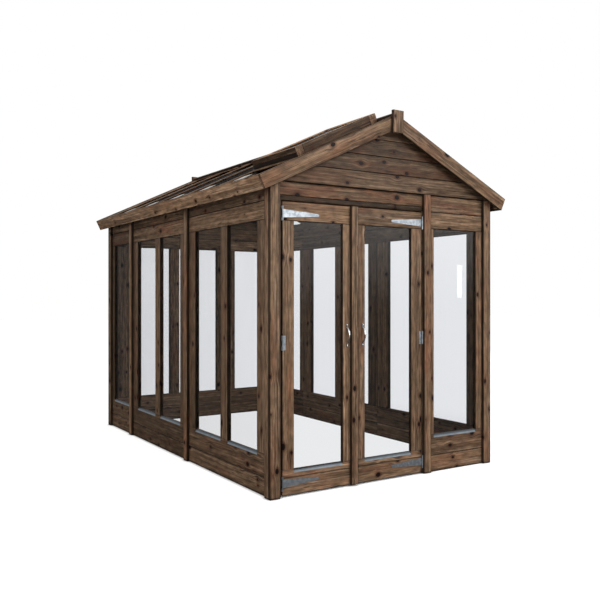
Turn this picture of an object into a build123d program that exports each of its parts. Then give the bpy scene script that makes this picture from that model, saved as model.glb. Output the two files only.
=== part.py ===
"""A small glazed timber greenhouse with a pitched glass roof and a pair of hinged doors.

The origin lies on the ground in the middle of the footprint. X runs along the door front,
Y runs from the doors to the rear and Z runs up. Sizes are in millimetres.
"""

from math import cos, radians, sin, tan
import os

from build123d import *

# Timber sections and the two panel widths that the whole building is made from
FRAME = 36
COVER = 20
DOUBLE_PANEL = 1165
SINGLE_PANEL = 540
WALL_HEIGHT = 1866
CORNER_TRIM = 69

# Windows
WINDOW = 397
MULLION = 100
WINDOW_FOOT = 250
SILL_RISE = 21
GLASS_DEPTH = 12
GLASS = 4
REBATE = 10
REBATE_CLEARANCE = 2

# Boards that lie across the panels, and the V grooves between them
FOOT_BOARD = 110
HEAD_BOARD = 112
GABLE_BOARD = 107
GROOVE_WIDTH = 5
GROOVE_DEPTH = 3

# Doors: the leaves meet a little to the right of the middle of the doorway
JAMB = 30
DOOR_HEAD_RAIL = 27
DOOR_HEAD_BOARD = 83
DOOR_FOOT = 8
DOOR_HEAD_CLEARANCE = 8
STOP_LAP = 12
STOP_DEPTH = 14
STOP_CLEARANCE = 5
MEETING_OFFSET = 7
MEETING_GAP = 9
CLOSING_STRIP = 52
LEFT_HINGE_STILE = 81
LEFT_CLOSING_STILE = 107
RIGHT_CLOSING_STILE = 56
RIGHT_HINGE_STILE = 90
DOOR_FOOT_BOARD = 103
DOOR_FOOT_RAIL = 150
DOOR_TOP_RAIL = 113

# Hinges: the pin stands in front of the door face and beside the jamb
PIN_TO_DOOR = 2
PIN_RADIUS = 2.5
PIN_CLEARANCE = 0.08
KNUCKLE_RADIUS = 5
KNUCKLE_GAP = 0.5
KNUCKLE_WRAP = 0.5
HINGE_PLATE = 2.5
HINGE_LEAF_DEPTH = 28
STRAP_TO_DOOR_END = 72
STRAP_LENGTH = 262
STRAP_ROOT = 50
STRAP_TIP = 17
STRAP_BARREL = 85
BUTT_HEIGHT = 910
BUTT_BARREL = 87
BUTT_LEAF = 18
BUTT_SIDE_GAP = 1

# Handles
HANDLE_FOOT = 868
HANDLE_LENGTH = 148
HANDLE_REACH = 30
HANDLE_RADIUS = 4
HANDLE_PAD = (12, 30, 3)
LEFT_HANDLE_TO_STRIP = 21
RIGHT_HANDLE_TO_EDGE = 40

# Roof: measured along and square to the top edge of the bargeboards
PITCH = 25.3
GABLE_EDGE = 11
EAVE_OVERHANG = 98
GABLE_OVERHANG = 30
BARGEBOARD = 90
ROOF_BOARD = 20
ROOF_FRAME = 36
ROOF_DROP = 8
EAVE_RAIL = 70
RIDGE_RAIL = 60
END_RAFTER = 150
JOINT_RAFTER = 90
MIDDLE_RAFTER = 50
RIDGE_BEAM = (45, 95)
RIDGE_CAP_WIDTH = 44
RIDGE_CAP_BOARD = 20
FINIAL_TOP_WIDTH = 86
FINIAL_FOOT_WIDTH = 82
FINIAL_HEIGHT = 144
FINIAL_RISE = 20

# Gable frames behind the gable boards
GABLE_RAIL = 60
GABLE_RAFTER = 55
GABLE_STUD = 60

# Roof vent on the left slope
VENT_RISE = 53
VENT_RAIL = 60
VENT_LAP = 25
VENT_LENGTH = 684
VENT_GAP = 2
VENT_TRIMMER = 60

# How far a cut runs past the face that it opens
CUT_MARGIN = 1

# Sizes that follow from the ones above; the battens end flush with the door lining
BATTEN = 2 * JAMB
WALL = COVER + FRAME
WIDTH = 2 * WALL + DOUBLE_PANEL + SINGLE_PANEL
DEPTH = 2 * WALL + 2 * DOUBLE_PANEL + SINGLE_PANEL
HALF_WIDTH = WIDTH / 2
HALF_DEPTH = DEPTH / 2
SLOPE_COS = cos(radians(PITCH))
SLOPE_SIN = sin(radians(PITCH))
SLOPE_TAN = tan(radians(PITCH))
SLOPE_LENGTH = (HALF_WIDTH + EAVE_OVERHANG) / SLOPE_COS
ROOF_END = HALF_DEPTH + GABLE_OVERHANG
WINDOW_HEAD = WALL_HEIGHT - 2 * HEAD_BOARD
UNDERSIDE = ROOF_DROP + ROOF_FRAME
APEX = WALL_HEIGHT + GABLE_EDGE + HALF_WIDTH * SLOPE_TAN + UNDERSIDE / SLOPE_COS
FINIAL_TOP = APEX + FINIAL_RISE
VENT_HIGH = RIDGE_CAP_WIDTH + VENT_GAP
VENT_LOW = VENT_HIGH + VENT_LENGTH
FRONT_FACE = -HALF_DEPTH + COVER
FRONT_JOINT = -HALF_WIDTH + WALL + DOUBLE_PANEL
SIDE_JOINTS = (-HALF_DEPTH + WALL + DOUBLE_PANEL, -HALF_DEPTH + WALL + 2 * DOUBLE_PANEL)
DOOR_HEAD = WALL_HEIGHT - DOOR_HEAD_BOARD - DOOR_HEAD_RAIL
DOOR_TOP = DOOR_HEAD - DOOR_HEAD_CLEARANCE
MEETING = -HALF_WIDTH + WALL + DOUBLE_PANEL / 2 + MEETING_OFFSET
LEFT_DOOR_EDGE = MEETING - MEETING_GAP / 2
RIGHT_DOOR_EDGE = MEETING + MEETING_GAP / 2
PIN_TO_FACE = KNUCKLE_RADIUS + HINGE_PLATE - KNUCKLE_WRAP
PIN_TO_JAMB = KNUCKLE_RADIUS + HINGE_PLATE - KNUCKLE_WRAP
LEFT_PIN = -HALF_WIDTH + WALL + JAMB + PIN_TO_JAMB
RIGHT_PIN = FRONT_JOINT - JAMB - PIN_TO_JAMB
PIN_Y = FRONT_FACE - PIN_TO_FACE


def block(x_span, y_span, z_span):
    """A board with square edges, given by its two faces along each axis."""
    sizes = [high - low for low, high in (x_span, y_span, z_span)]
    centre = [(low + high) / 2 for low, high in (x_span, y_span, z_span)]
    return Pos(*centre) * Box(*sizes)


def across(outline, y_front, y_rear):
    """A flat piece that faces the front: its outline is drawn in X and Z."""
    sketch = Plane.XZ.offset(-y_front) * Polygon(*outline, align=None)
    return extrude(sketch, amount=y_rear - y_front, dir=(0, 1, 0))


def sideways(outline, x_low, x_high):
    """A piece that runs from left to right: its section is drawn in Y and Z."""
    sketch = Plane.YZ.offset(x_low) * Polygon(*outline, align=None)
    return extrude(sketch, amount=x_high - x_low, dir=(1, 0, 0))


def groove(x_span, face, height):
    """The V between two boards that lie one above the other, cut into a front face."""
    half = GROOVE_WIDTH / 2
    outline = [(face, height - half), (face + GROOVE_DEPTH, height), (face, height + half)]
    return sideways(outline, *x_span)


def mirrored(shape):
    """The same piece on the other side of the building."""
    return mirror(shape, about=Plane.YZ)


def on_slope(along, out):
    """X and Z on the right slope: along it from the apex and square out from its top line."""
    return (along * SLOPE_COS + out * SLOPE_SIN, APEX - along * SLOPE_SIN + out * SLOPE_COS)


def under_roof(x):
    """Height of the underside of the roof frames at a distance from the ridge."""
    return APEX - UNDERSIDE / SLOPE_COS - abs(x) * SLOPE_TAN


def ridge_mitre(out):
    """Where a layer of the right slope meets the middle of the building."""
    return -out * SLOPE_TAN


# Windows and their glass

def window_spans(width, count):
    """The window openings of one panel, from its middle outwards."""
    pitch = WINDOW + MULLION
    middles = [(index - (count - 1) / 2) * pitch for index in range(count)]
    return [(middle - WINDOW / 2, middle + WINDOW / 2) for middle in middles]


def cut_window(panel, x_span, z_span, face):
    """Cuts an opening with a sloped sill, and a rebate behind it that the glass lies against."""
    foot, head = z_span
    glass = face + GLASS_DEPTH
    panel -= block(x_span, (face, face + FRAME), z_span)
    panel -= sideways([(face, foot - SILL_RISE), (glass, foot), (face, foot)], *x_span)
    wide = (x_span[0] - REBATE, x_span[1] + REBATE)
    return panel - block(wide, (glass, face + FRAME), (foot - REBATE, head + REBATE))


def pane(x_span, z_span, face):
    """The sheet of glass of one such opening."""
    lip = REBATE - REBATE_CLEARANCE
    glass = face + GLASS_DEPTH
    wide, tall = [(low - lip, high + lip) for low, high in (x_span, z_span)]
    return block(wide, (glass, glass + GLASS), tall)


def wall_panel(width, count, height=WALL_HEIGHT):
    """A wall panel and its panes, facing the front, with its foot at the origin."""
    panel = block((-width / 2, width / 2), (0, FRAME), (0, height))
    opening = (WINDOW_FOOT, WINDOW_HEAD)
    spans = window_spans(width, count)
    for span in spans:
        panel = cut_window(panel, span, opening, 0)
    for seam in (FOOT_BOARD, WALL_HEIGHT - HEAD_BOARD):
        panel -= groove((-width / 2, width / 2), 0, seam)
    panes = [pane(span, opening, 0) for span in spans]
    return panel, panes


def side_wall():
    """The three panels of the left wall with their panes; their tops follow the roof."""
    face = -HALF_WIDTH + COVER
    above = roof_space()
    start = -HALF_DEPTH + WALL
    panels, panes = [], []
    for width, count in ((DOUBLE_PANEL, 2), (DOUBLE_PANEL, 2), (SINGLE_PANEL, 1)):
        place = Pos(face, start + width / 2, 0) * Rot(0, 0, -90)
        panel, sheets = wall_panel(width, count, under_roof(face + FRAME))
        panels.append(place * panel - above)
        panes += [place * sheet for sheet in sheets]
        start += width
    return panels, panes


def roof_space():
    """Everything above the underside of the roof, used to bevel what carries it."""
    reach = HALF_WIDTH + EAVE_OVERHANG
    outline = [(0, under_roof(0)), (reach, under_roof(reach)), (reach, APEX + reach)]
    outline += [(-reach, APEX + reach), (-reach, under_roof(reach))]
    return across(outline, -ROOF_END, ROOF_END)


# Corner posts, trims and battens

def corner_post():
    """The front left post, which the front and the left wall are screwed to."""
    low = -HALF_WIDTH + COVER
    return block((low, low + FRAME), (FRONT_FACE, FRONT_FACE + FRAME), (0, WALL_HEIGHT))


def corner_trim():
    """The front left corner trim: two boards on edge, one piece with an L section."""
    x, y = -HALF_WIDTH, -HALF_DEPTH
    outline = [(x, y), (x + CORNER_TRIM, y), (x + CORNER_TRIM, y + COVER)]
    outline += [(x + COVER, y + COVER), (x + COVER, y + CORNER_TRIM), (x, y + CORNER_TRIM)]
    return extrude(Polygon(*outline, align=None), amount=WALL_HEIGHT, dir=(0, 0, 1))


def four_corners(shape):
    """A corner piece copied to all four corners."""
    rear = mirror(shape, about=Plane.XZ)
    return [shape, mirrored(shape), rear, mirrored(rear)]


def battens():
    """Boards that cover the joints between panels."""
    tall = (0, WALL_HEIGHT)
    joint = (FRONT_JOINT - BATTEN / 2, FRONT_JOINT + BATTEN / 2)
    front = block(joint, (-HALF_DEPTH, FRONT_FACE), tall)
    rear = block(joint, (-FRONT_FACE, HALF_DEPTH), tall)
    sides = []
    for y in SIDE_JOINTS:
        side = block((-HALF_WIDTH, -HALF_WIDTH + COVER), (y - BATTEN / 2, y + BATTEN / 2), tall)
        sides += [side, mirrored(side)]
    return front, rear, sides


# Gables

def gable():
    """The front gable: boards in front, a triangular frame behind them."""
    low = WALL_HEIGHT
    outline = [(-HALF_WIDTH, low), (HALF_WIDTH, low), (HALF_WIDTH, under_roof(HALF_WIDTH))]
    outline += [(0, under_roof(0)), (-HALF_WIDTH, under_roof(HALF_WIDTH))]
    boards = across(outline, -HALF_DEPTH, FRONT_FACE)
    seam = low + GABLE_BOARD
    while seam < under_roof(0) - GABLE_BOARD / 2:
        boards -= groove((-HALF_WIDTH, HALF_WIDTH), -HALF_DEPTH, seam)
        seam += GABLE_BOARD
    half = HALF_WIDTH - COVER
    outline = [(-half, low), (half, low), (half, under_roof(half))]
    outline += [(0, under_roof(0)), (-half, under_roof(half))]
    frame = across(outline, FRONT_FACE, FRONT_FACE + FRAME)
    foot, stud = low + GABLE_RAIL, GABLE_STUD / 2
    drop = GABLE_RAFTER / SLOPE_COS
    end = (under_roof(0) - drop - foot) / SLOPE_TAN
    hole = [(stud, foot), (end, foot), (stud, under_roof(stud) - drop)]
    right = across(hole, FRONT_FACE, FRONT_FACE + FRAME)
    return boards, frame - right - mirrored(right)


# Roof

def slope_plane():
    """The right slope: X down it from the apex, Y along the building, Z out of it."""
    return Plane(
        origin=(0, 0, APEX),
        x_dir=(SLOPE_COS, 0, -SLOPE_SIN),
        z_dir=(SLOPE_SIN, 0, SLOPE_COS),
    )


def slope_block(along, y_span, out):
    """A board or pane that lies in the right slope."""
    return slope_plane() * block(along, y_span, out)


def slope_section(start, end, top, foot):
    """The section of a layer of the right slope; it is mitred where it starts at the ridge."""
    if start is None:
        upper, lower = ridge_mitre(top), ridge_mitre(foot)
    else:
        upper = lower = start
    return [on_slope(upper, top), on_slope(end, top), on_slope(end, foot), on_slope(lower, foot)]


def roof_bays():
    """The clear widths between the rafters, from the front to the rear."""
    front_mullion = -HALF_DEPTH + WALL + DOUBLE_PANEL / 2
    rafters = [(-ROOF_END, -ROOF_END + END_RAFTER)]
    for middle, width in (
        (front_mullion, MIDDLE_RAFTER),
        (SIDE_JOINTS[0], JOINT_RAFTER),
        (front_mullion + DOUBLE_PANEL, MIDDLE_RAFTER),
        (SIDE_JOINTS[1], JOINT_RAFTER),
    ):
        rafters.append((middle - width / 2, middle + width / 2))
    rafters.append((ROOF_END - END_RAFTER, ROOF_END))
    return [(before[1], after[0]) for before, after in zip(rafters, rafters[1:])]


def roof_slope(vent):
    """The frame and the panes of one slope, built on the right side."""
    end = SLOPE_LENGTH - ROOF_BOARD
    frame = across(slope_section(None, end, -ROOF_DROP, -UNDERSIDE), -ROOF_END, ROOF_END)
    top = RIDGE_RAIL
    foot = end - EAVE_RAIL
    glass_foot = -ROOF_DROP - REBATE
    panes = []
    for index, bay in enumerate(roof_bays()):
        spans = [(top, foot)]
        if vent and index == 0:
            spans = [(VENT_HIGH + VENT_RAIL, VENT_LOW - VENT_LAP)]
            spans.append((VENT_LOW - VENT_LAP + VENT_TRIMMER, foot))
        for number, span in enumerate(spans):
            frame -= slope_block(span, bay, (-UNDERSIDE - CUT_MARGIN, 0))
            if vent and index == 0 and number == 0:
                continue
            wide = [(low - REBATE, high + REBATE) for low, high in (span, bay)]
            frame -= slope_block(*wide, (glass_foot, 0))
            lip = REBATE - REBATE_CLEARANCE
            sheet = [(low - lip, high + lip) for low, high in (span, bay)]
            panes.append(slope_block(*sheet, (glass_foot, glass_foot + GLASS)))
    return frame, panes


def roof_vent():
    """The framed vent that stands up from the first bay of the left slope."""
    low, high = roof_bays()[0]
    along, y_span = (VENT_HIGH, VENT_LOW), (low - VENT_LAP, high + VENT_LAP)
    out = (-ROOF_DROP, VENT_RISE)
    frame = slope_block(along, y_span, out)
    clear = [(start + VENT_RAIL, end - VENT_RAIL) for start, end in (along, y_span)]
    frame -= slope_block(*clear, (-ROOF_DROP - CUT_MARGIN, VENT_RISE + CUT_MARGIN))
    wide = [(start - REBATE, end + REBATE) for start, end in clear]
    frame -= slope_block(*wide, (VENT_RISE - REBATE, VENT_RISE + CUT_MARGIN))
    lip = REBATE - REBATE_CLEARANCE
    sheet = [(start - lip, end + lip) for start, end in clear]
    glass = slope_block(*sheet, (VENT_RISE - REBATE, VENT_RISE - REBATE + GLASS))
    return mirrored(frame), mirrored(glass)


def bargeboard():
    """The right half of the front bargeboard, cut plumb at the ridge and square at the eave."""
    outline = slope_section(None, SLOPE_LENGTH, 0, -BARGEBOARD)
    return across(outline, -ROOF_END - ROOF_BOARD, -ROOF_END)


def fascia():
    """The right eave board, square to the slope, between the bargeboards."""
    outline = slope_section(SLOPE_LENGTH - ROOF_BOARD, SLOPE_LENGTH, 0, -BARGEBOARD)
    return across(outline, -ROOF_END, ROOF_END)


def finial():
    """The tapered block that covers the joint of the front bargeboards."""
    front = -ROOF_END - 2 * ROOF_BOARD
    top, foot = FINIAL_TOP_WIDTH / 2, FINIAL_FOOT_WIDTH / 2
    low = FINIAL_TOP - FINIAL_HEIGHT
    outline = [(-foot, low), (foot, low), (top, FINIAL_TOP), (-top, FINIAL_TOP)]
    return across(outline, front, front + ROOF_BOARD)


def ridge_cap():
    """Two boards that meet over the ridge and cover the joint of the roof frames."""
    section = slope_section(None, RIDGE_CAP_WIDTH, RIDGE_CAP_BOARD - ROOF_DROP, -ROOF_DROP)
    board = across(section, -ROOF_END, ROOF_END)
    return board + mirrored(board)


def ridge_beam():
    """The beam under the ridge, with its top bevelled both ways to carry the frames."""
    half, height = RIDGE_BEAM[0] / 2, RIDGE_BEAM[1]
    foot = under_roof(half) - height
    outline = [(-half, foot), (half, foot), (half, under_roof(half))]
    outline += [(0, under_roof(0)), (-half, under_roof(half))]
    end = HALF_DEPTH - WALL
    return across(outline, -end, end)


# Door lining, doors and their fittings

def door_leaf(x_span, left_stile, right_stile):
    """A framed door leaf and its pane."""
    leaf = block(x_span, (FRONT_FACE, FRONT_FACE + FRAME), (DOOR_FOOT, DOOR_TOP))
    clear = (x_span[0] + left_stile, x_span[1] - right_stile)
    opening = (DOOR_FOOT + DOOR_FOOT_RAIL, DOOR_TOP - DOOR_TOP_RAIL)
    leaf = cut_window(leaf, clear, opening, FRONT_FACE)
    leaf -= groove(x_span, FRONT_FACE, DOOR_FOOT + DOOR_FOOT_BOARD)
    return leaf, pane(clear, opening, FRONT_FACE)


def door_lining():
    """The two jambs and the head; each has a stop behind the leaves, cut from the solid."""
    left, right = FRONT_JOINT - DOUBLE_PANEL, FRONT_JOINT
    back = FRONT_FACE + FRAME
    y_span = (FRONT_FACE, back)
    ledge = (back, back + STOP_CLEARANCE + STOP_DEPTH)
    stop = (back + STOP_CLEARANCE, back + STOP_CLEARANCE + STOP_DEPTH)
    jambs = []
    for outer, inward in ((left, 1), (right, -1)):
        inner = outer + inward * JAMB
        lap = inner + inward * STOP_LAP
        jamb = block(sorted((outer, inner)), (y_span[0], ledge[1]), (0, DOOR_HEAD))
        jambs.append(jamb + block(sorted((outer, lap)), stop, (0, DOOR_HEAD - STOP_LAP)))
    head = block((left, right), y_span, (DOOR_HEAD, WALL_HEIGHT))
    head += block((left, right), ledge, (DOOR_HEAD, DOOR_HEAD + DOOR_HEAD_RAIL))
    head += block((left + JAMB, right - JAMB), stop, (DOOR_HEAD - STOP_LAP, DOOR_HEAD))
    return jambs, head - groove((left, right), FRONT_FACE, DOOR_HEAD + DOOR_HEAD_RAIL)


def barrel(low, high):
    """A length of hinge barrel on the pin's axis."""
    return Pos(0, 0, (low + high) / 2) * Cylinder(KNUCKLE_RADIUS, high - low)


def fixed_leaf(height, middle):
    """The leaf on the jamb, with the pin and the two outer knuckles; door to the right."""
    half, inner = height / 2, middle / 2 + KNUCKLE_GAP
    leaf = Cylinder(PIN_RADIUS, height)
    plate = (-PIN_TO_JAMB, -PIN_TO_JAMB + HINGE_PLATE)
    for low, high in ((-half, -inner), (inner, half)):
        leaf += barrel(low, high)
        leaf += block(plate, (0, PIN_TO_FACE), (low, high))
    y_span = (PIN_TO_FACE, PIN_TO_FACE + HINGE_LEAF_DEPTH)
    return leaf + block(plate, y_span, (-half, half))


def knuckle(middle):
    """The middle knuckle, which turns on the pin."""
    bore = PIN_RADIUS + PIN_CLEARANCE
    return Cylinder(KNUCKLE_RADIUS, middle) - Cylinder(bore, middle)


def strap_leaf():
    """The tapered strap that is screwed to the face of a door, with its knuckle."""
    root, tip = STRAP_ROOT / 2, STRAP_TIP / 2
    end = STRAP_LENGTH - tip
    outline = Polygon((0, -root), (end, -tip), (end, tip), (0, root), align=None)
    outline += Pos(end, 0) * Circle(tip)
    face = Plane.XZ.offset(-PIN_TO_FACE) * outline
    return extrude(face, amount=HINGE_PLATE, dir=(0, -1, 0)) + knuckle(STRAP_ROOT)


def butt_leaf():
    """The plain leaf of the middle hinge, with its knuckle."""
    middle = BUTT_BARREL / 3
    y_span = (PIN_TO_FACE - HINGE_PLATE, PIN_TO_FACE)
    inner = KNUCKLE_RADIUS + BUTT_SIDE_GAP
    half = BUTT_BARREL / 2
    leaf = block((inner, inner + BUTT_LEAF), y_span, (-half, half))
    return leaf + block((0, inner), y_span, (-middle / 2, middle / 2)) + knuckle(middle)


def hinge_sets():
    """The fixed and the moving leaves of the left door's three hinges."""
    fixed, moving = [], []
    for height in (DOOR_FOOT + STRAP_TO_DOOR_END, DOOR_TOP - STRAP_TO_DOOR_END):
        place = Pos(LEFT_PIN, PIN_Y, height)
        fixed.append(place * fixed_leaf(STRAP_BARREL, STRAP_ROOT))
        moving.append(place * strap_leaf())
    place = Pos(LEFT_PIN, PIN_Y, BUTT_HEIGHT)
    fixed.append(place * fixed_leaf(BUTT_BARREL, BUTT_BARREL / 3))
    moving.append(place * butt_leaf())
    return fixed, moving


def handle(x):
    """A bow handle: a round grip between two screwed tabs, standing off the face of a door."""
    wide, tall, thick = HANDLE_PAD
    foot, top = HANDLE_FOOT, HANDLE_FOOT + HANDLE_LENGTH
    low, high = foot + tall - HANDLE_RADIUS, top - tall + HANDLE_RADIUS
    reach = FRONT_FACE - HANDLE_REACH + HANDLE_RADIUS
    start = FRONT_FACE - thick / 2
    path = ThreePointArc((x, start, low), (x, reach, (low + high) / 2), (x, start, high))
    section = Plane(origin=path @ 0, z_dir=path % 0) * Circle(HANDLE_RADIUS)
    grip = sweep(section, path=path)
    tab = Plane.XZ.offset(-FRONT_FACE) * SlotOverall(tall, wide, rotation=90)
    tab = extrude(tab, amount=thick, dir=(0, -1, 0))
    for z in (foot + tall / 2, top - tall / 2):
        grip += Pos(x, 0, z) * tab
    beyond = block((x - tall, x + tall), (FRONT_FACE, FRONT_FACE + tall), (0, DOOR_TOP))
    return grip - beyond


# Every node by its name

def build():
    """All pieces of the building, each under its node name."""
    nodes = {}
    panels, panes = side_wall()
    for name, panel in zip(("front", "middle", "rear"), panels):
        nodes[f"left_wall_{name}_panel"] = panel
        nodes[f"right_wall_{name}_panel"] = mirrored(panel)
    nodes["left_wall_glass"] = panes
    nodes["right_wall_glass"] = [mirrored(sheet) for sheet in panes]

    double, double_panes = wall_panel(DOUBLE_PANEL, 2)
    single, single_panes = wall_panel(SINGLE_PANEL, 1)
    rear_y = -FRONT_FACE - FRAME
    double_x = FRONT_JOINT - DOUBLE_PANEL / 2
    single_x = FRONT_JOINT + SINGLE_PANEL / 2
    turn = mirror(double, about=Plane.XZ)
    nodes["rear_wall_double_panel"] = Pos(double_x, rear_y + FRAME, 0) * turn
    turn = mirror(single, about=Plane.XZ)
    nodes["rear_wall_single_panel"] = Pos(single_x, rear_y + FRAME, 0) * turn
    nodes["front_window_panel"] = Pos(single_x, FRONT_FACE, 0) * single
    rear_glass = []
    for x, sheets in ((double_x, double_panes), (single_x, single_panes)):
        place = Pos(x, rear_y + FRAME, 0)
        rear_glass += [place * mirror(sheet, about=Plane.XZ) for sheet in sheets]
    nodes["rear_wall_glass"] = rear_glass
    nodes["front_window_glass"] = [Pos(single_x, FRONT_FACE, 0) * single_panes[0]]

    nodes["corner_posts"] = four_corners(corner_post())
    nodes["corner_trims"] = four_corners(corner_trim())
    nodes["front_joint_batten"], nodes["rear_joint_batten"], sides = battens()
    nodes["side_joint_battens"] = sides

    jambs, nodes["door_head"] = door_lining()
    nodes["left_door_jamb"], nodes["right_door_jamb"] = jambs

    boards, frame = gable()
    nodes["front_gable_boards"] = boards
    nodes["front_gable_frame"] = frame
    nodes["rear_gable_boards"] = mirror(boards, about=Plane.XZ)
    nodes["rear_gable_frame"] = mirror(frame, about=Plane.XZ)

    nodes["ridge_beam"] = ridge_beam()
    frame, sheets = roof_slope(vent=False)
    nodes["right_roof_frame"] = frame
    nodes["right_roof_glass"] = sheets
    frame, sheets = roof_slope(vent=True)
    nodes["left_roof_frame"] = mirrored(frame)
    nodes["left_roof_glass"] = [mirrored(sheet) for sheet in sheets]
    nodes["roof_vent_frame"], nodes["roof_vent_glass"] = roof_vent()
    board = bargeboard()
    nodes["front_right_bargeboard"] = board
    nodes["front_left_bargeboard"] = mirrored(board)
    nodes["rear_right_bargeboard"] = mirror(board, about=Plane.XZ)
    nodes["rear_left_bargeboard"] = mirrored(mirror(board, about=Plane.XZ))
    nodes["right_eave_fascia"] = fascia()
    nodes["left_eave_fascia"] = mirrored(fascia())
    nodes["ridge_capping"] = ridge_cap()
    nodes["front_finial"] = finial()
    nodes["rear_finial"] = mirror(finial(), about=Plane.XZ)

    left_span = (LEFT_PIN + PIN_TO_DOOR, LEFT_DOOR_EDGE)
    leaf, sheet = door_leaf(left_span, LEFT_HINGE_STILE, LEFT_CLOSING_STILE)
    nodes["left_door_frame"], nodes["left_door_glass"] = leaf, sheet
    strip = (LEFT_DOOR_EDGE - CLOSING_STRIP, LEFT_DOOR_EDGE)
    nodes["door_closing_strip"] = block(strip, (-HALF_DEPTH, FRONT_FACE), (DOOR_FOOT, DOOR_TOP))
    right_span = (RIGHT_DOOR_EDGE, RIGHT_PIN - PIN_TO_DOOR)
    leaf, sheet = door_leaf(right_span, RIGHT_CLOSING_STILE, RIGHT_HINGE_STILE)
    nodes["right_door_frame"], nodes["right_door_glass"] = leaf, sheet

    fixed, moving = hinge_sets()
    nodes["left_hinge_jamb_leaves"] = fixed
    nodes["left_hinge_door_leaves"] = moving
    across_x = Pos(LEFT_PIN + RIGHT_PIN, 0, 0)
    nodes["right_hinge_jamb_leaves"] = [across_x * mirrored(leaf) for leaf in fixed]
    nodes["right_hinge_door_leaves"] = [across_x * mirrored(leaf) for leaf in moving]
    nodes["left_door_handle"] = handle(strip[0] - LEFT_HANDLE_TO_STRIP)
    nodes["right_door_handle"] = handle(RIGHT_DOOR_EDGE + RIGHT_HANDLE_TO_EDGE)
    return nodes


def write(nodes):
    """Writes one file for each node."""
    os.makedirs("parts", exist_ok=True)
    for name, shape in nodes.items():
        pieces = shape if isinstance(shape, list) else [shape]
        solids = [solid for piece in pieces for solid in piece.solids()]
        whole = solids[0] if len(solids) == 1 else Compound(children=solids)
        export_step(whole, f"parts/{name}.step")


write(build())
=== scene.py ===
# %% [markdown]
# # A small timber greenhouse
#
# The real thing is made of brown stained softwood boards, clear float glass, zinc plated hinges
# and two chromed bow handles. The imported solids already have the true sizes, so this script
# dresses them: it saws the solid panels into the separate boards that a joiner would nail
# together, gives every board its own grain, and adds the screws and glazing beads.

from math import cos, pi, radians, sin
from random import Random

import bpy
import numpy as np
from mathutils import Matrix, Vector


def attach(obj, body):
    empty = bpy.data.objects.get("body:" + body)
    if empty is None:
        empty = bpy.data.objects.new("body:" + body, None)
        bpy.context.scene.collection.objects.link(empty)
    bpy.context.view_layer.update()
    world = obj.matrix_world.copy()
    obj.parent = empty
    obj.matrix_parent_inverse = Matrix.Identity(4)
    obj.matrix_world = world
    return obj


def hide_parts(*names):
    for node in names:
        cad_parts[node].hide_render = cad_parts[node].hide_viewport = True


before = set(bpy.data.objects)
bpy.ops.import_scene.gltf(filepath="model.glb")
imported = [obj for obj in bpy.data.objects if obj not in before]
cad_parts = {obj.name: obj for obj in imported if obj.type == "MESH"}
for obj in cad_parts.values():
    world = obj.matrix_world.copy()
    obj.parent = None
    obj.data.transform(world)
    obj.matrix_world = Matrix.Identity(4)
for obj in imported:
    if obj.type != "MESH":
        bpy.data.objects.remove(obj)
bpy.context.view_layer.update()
scene = bpy.context.scene
MM = 0.001
print("nodes", len(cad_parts))

# %% [markdown]
# ## Camera
#
# The picture was taken from the height of a person's chest, to the left of the doors. The
# camera is level, so all upright edges stay upright, and a small vertical shift frames it.

# %% Camera
CAMERA_PLACE = (-3.0271, -5.1439, 1.1873)
CAMERA_TURN = radians(-32.47)
CAMERA_LENS, CAMERA_SENSOR = 43.65, 36
CAMERA_SHIFT = -0.0066

data = bpy.data.cameras.new("camera")
data.lens, data.sensor_width, data.shift_y = CAMERA_LENS, CAMERA_SENSOR, CAMERA_SHIFT
camera = bpy.data.objects.new("camera", data)
scene.collection.objects.link(camera)
camera.location = CAMERA_PLACE
camera.rotation_euler = (radians(90), 0, CAMERA_TURN)
scene.camera = camera
print("camera", round(camera.data.lens, 2), "mm")

# %% [markdown]
# ## Nodes and colours
#
# A material is a small tree of nodes. Colours are written as on a paint chart, in sRGB hex,
# and Blender wants them linear, so one function turns them round. Another adds one node with
# its settings and whatever feeds it: a fixed value, a socket, or a node for its first output.

# %% Helpers for materials
SMOOTH = "SMOOTHSTEP"


def colour(code):
    """A colour from its sRGB hex code, in linear values."""
    values = [int(code[i:i + 2], 16) / 255 for i in (1, 3, 5)]
    return tuple(v / 12.92 if v < 0.04045 else ((v + 0.055) / 1.055) ** 2.4 for v in values) + (1,)


def add(tree, kind, inputs=None, **settings):
    """Adds one node with its settings, and gives it its inputs."""
    node = tree.nodes.new("ShaderNode" + kind)
    for name, value in settings.items():
        setattr(node, name, value)
    for name, value in (inputs or {}).items():
        feed(tree, value, node.inputs[name])
    return node


def feed(tree, value, socket):
    """Sets a socket to a fixed value, or links it to what feeds it."""
    if isinstance(value, bpy.types.Node):
        value = next(output for output in value.outputs if output.enabled)
    if isinstance(value, bpy.types.NodeSocket):
        tree.links.new(value, socket)
    else:
        socket.default_value = value


def new_material(name):
    """An empty material and the shader that its surface comes from."""
    material = bpy.data.materials.new(name)
    material.use_nodes = True
    tree = material.node_tree
    return material, tree, tree.nodes["Principled BSDF"]


print("middle grey #808080 is", round(colour("#808080")[0], 3), "in linear values")

# %% [markdown]
# ## Knots
#
# A knot is a branch that the saw cut across: a dark oval with a ragged rim. The face of a board
# is laid out in cells, each with one point somewhere in it, and a random number says whether a
# knot stands on that point and how wide it is. The cells are far longer than they are wide,
# because branches leave a trunk in whorls with clear wood between them.

# %% Knots
KNOT_CELL = (0.19, 0.07)
KNOT_RADIUS, KNOT_RAGGED = 0.0105, 0.003
CLEAR_CELLS = 0.58


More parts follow.
